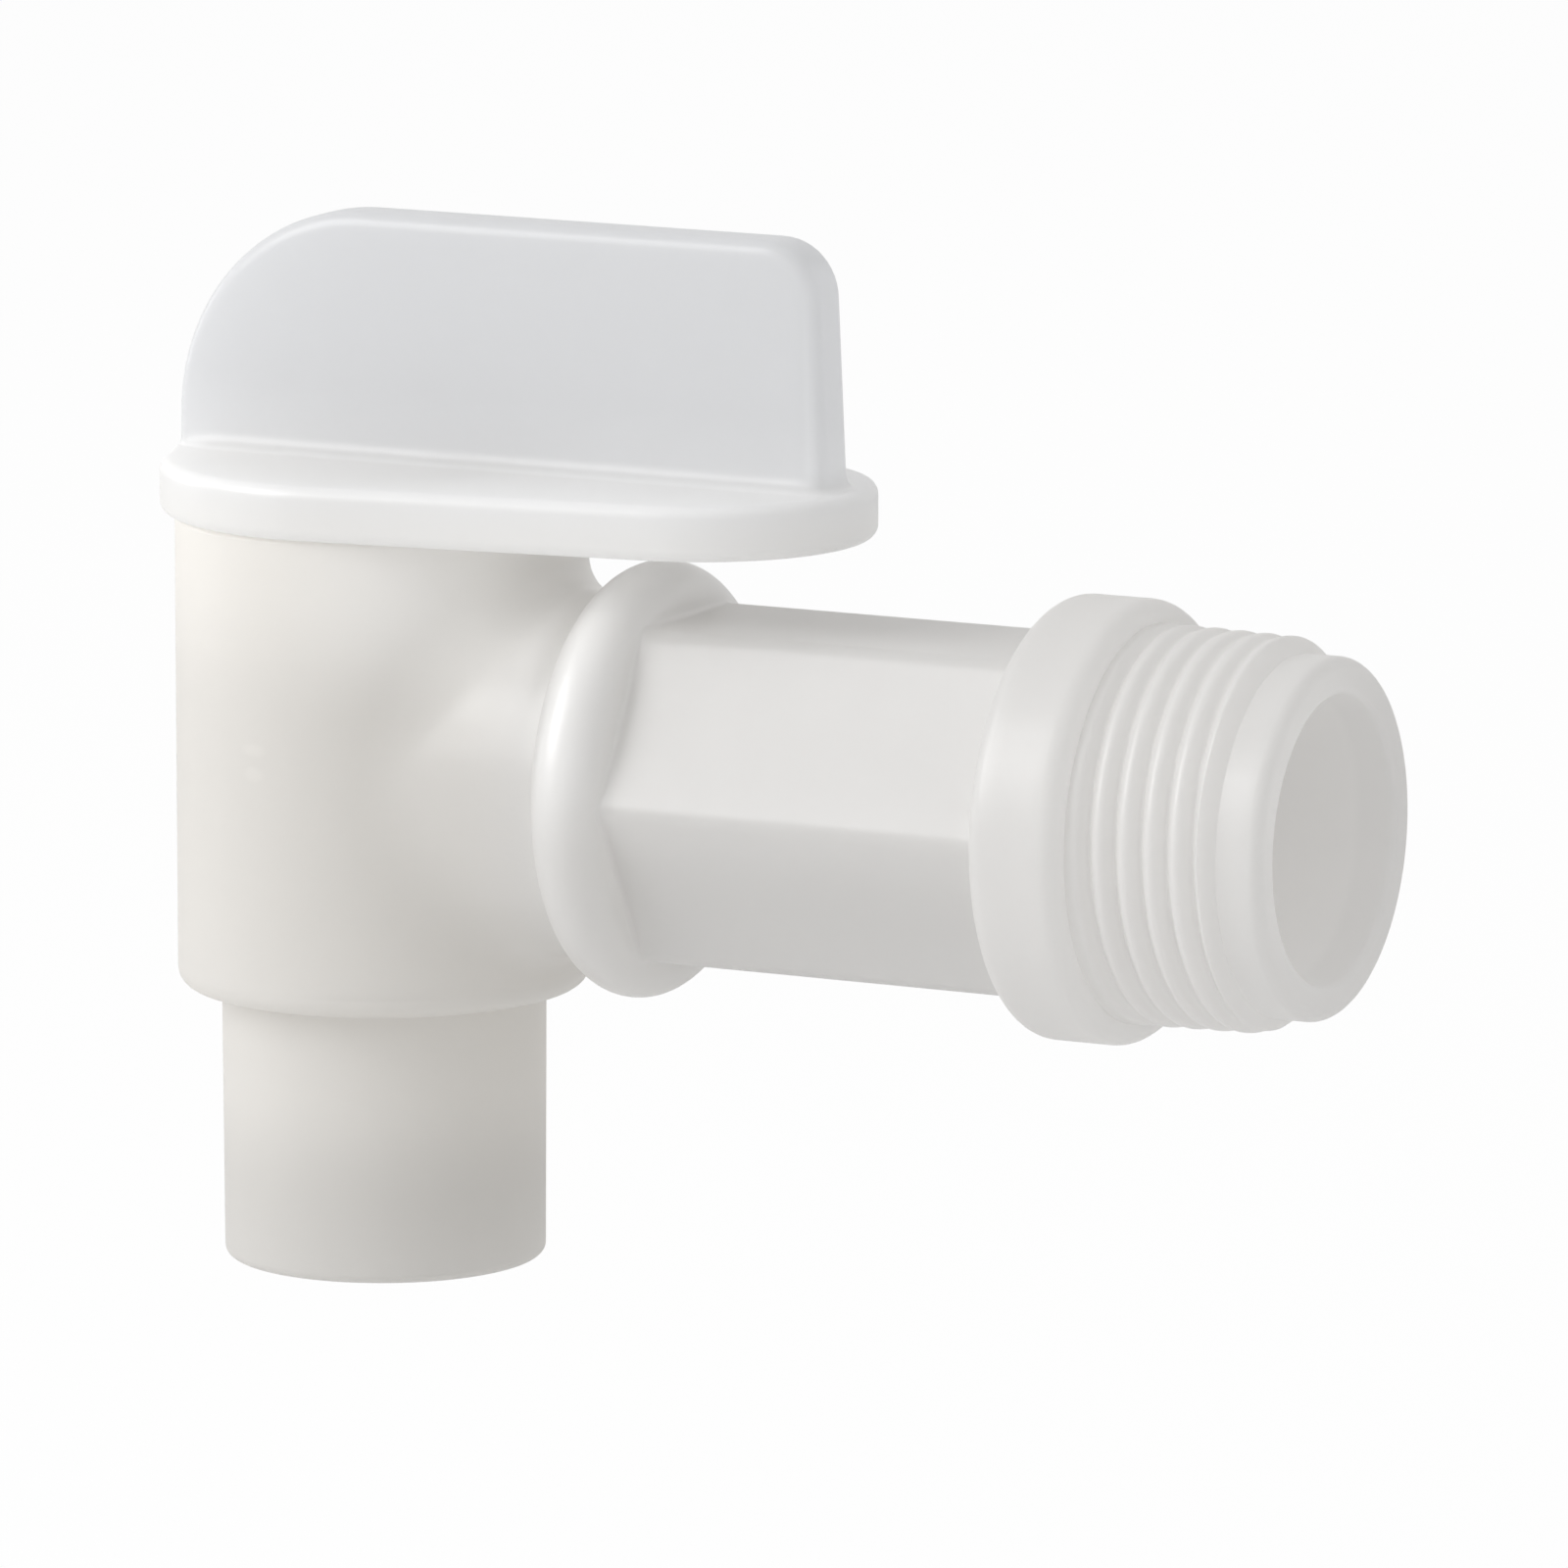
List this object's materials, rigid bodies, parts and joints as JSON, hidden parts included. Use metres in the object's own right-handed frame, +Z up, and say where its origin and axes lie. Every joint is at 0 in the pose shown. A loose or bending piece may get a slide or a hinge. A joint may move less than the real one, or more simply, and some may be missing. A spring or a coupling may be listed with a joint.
{
  "type": "plug tap",
  "caption": "Moulded polyethylene plug tap for a drum or jerrycan, with a male thread, a downward spout and a blade handle over the inlet.",
  "frame": {"origin": "where the inlet's axis meets the sealing face of the collar, at the root of the male thread", "axes": "+X along the inlet's axis, out through the thread into the drum; +Z up, along the barrel, away from the spout"},
  "size_m": [0.0854, 0.0298, 0.0711],
  "materials": {
    "natural_body": "satin, milky and slightly translucent",
    "natural_handle": "satin, milky and slightly translucent"
  },
  "bodies": {
    "body": {"tap_body": "natural_body"},
    "plug": {"plug_handle": "natural_handle"}
  },
  "joints": [
    {"name": "handle_turn", "type": "hinge", "parent": "body", "child": "plug", "pos_m": [-0.0572, 0, 0], "axis": [0, 0, 1], "continuous": true}
  ]
}
